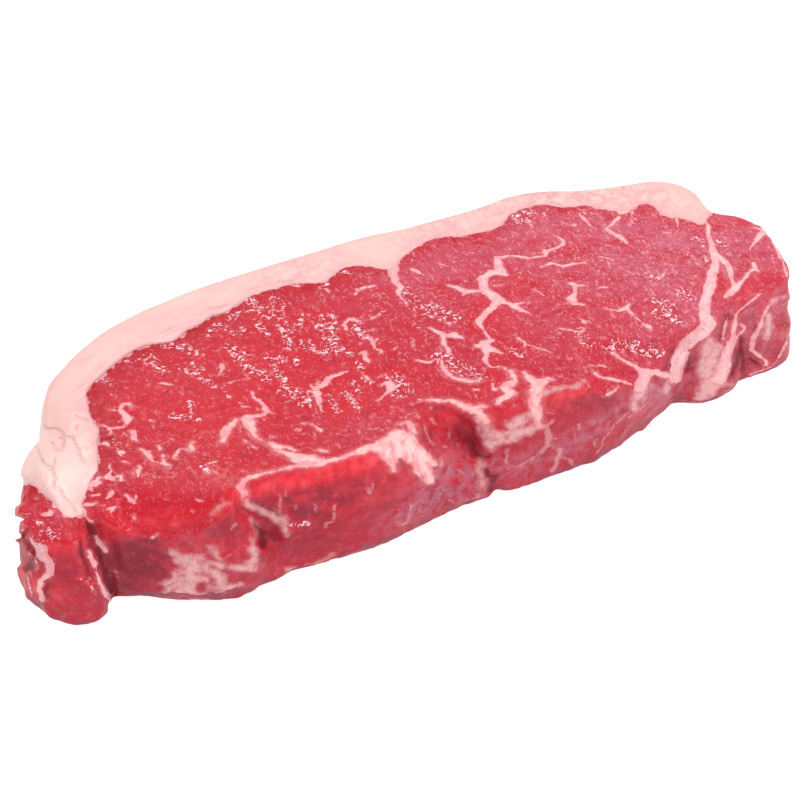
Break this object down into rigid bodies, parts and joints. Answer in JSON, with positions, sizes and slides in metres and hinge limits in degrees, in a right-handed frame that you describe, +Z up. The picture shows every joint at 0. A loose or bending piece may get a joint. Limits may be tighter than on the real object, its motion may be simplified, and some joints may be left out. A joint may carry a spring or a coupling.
{
  "type": "raw sirloin steak",
  "caption": "Raw sirloin steak cut across the loin: a marbled red eye muscle, a pale fat cap along its back, a folded flap at the left end and a tail of small muscles at the right end.",
  "frame": {"origin": "on the lower cut face, under the middle of the steak's bounding box", "axes": "+Z up from the lower cut face to the upper one, +X along the steak's length towards the tail of small muscles, +Y across it towards the fat cap"},
  "size_m": [0.2335, 0.0969, 0.0276],
  "materials": {
    "lean_meat": "wet raw beef: crimson muscle with fine grain, paler where it dries, marbled with thin pale pink fat",
    "hard_fat": "smooth raw beef fat, pale pink to cream, slightly waxy, with fine tan creases"
  },
  "bodies": {
    "root": {"lean": "lean_meat", "fat_cap": "hard_fat"}
  },
  "joints": []
}
